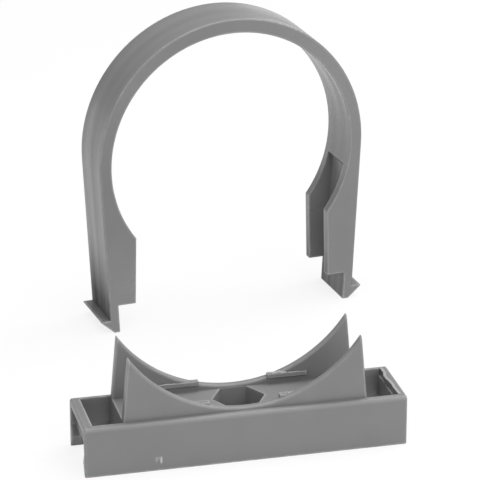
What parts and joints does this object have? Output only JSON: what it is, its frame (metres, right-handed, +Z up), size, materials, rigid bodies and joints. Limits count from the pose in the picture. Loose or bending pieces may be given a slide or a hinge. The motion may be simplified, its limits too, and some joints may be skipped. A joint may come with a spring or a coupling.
{
  "type": "pipe clip",
  "caption": "Grey plastic pipe clip, taken apart: a channel foot with saddle cheeks, a nut socket and end slots, and a snap-fit strap with flanged, hooked legs.",
  "frame": {"origin": "on the mounting surface, under the middle of the base", "axes": "X along the base and across its pipe, Y along the pipe with the front at -Y, Z up from the mounting surface"},
  "size_m": [0.1546, 0.176, 0.1366],
  "materials": {
    "grey_pvc": "satin moulded PVC-U, mid grey"
  },
  "bodies": {
    "base": {"base": "grey_pvc"},
    "strap": {"strap": "grey_pvc"}
  },
  "joints": [
    {"name": "strap_lift", "type": "slide", "parent": "base", "child": "strap", "axis": [0, 0, 1], "range_m": [0, 0.12]}
  ]
}
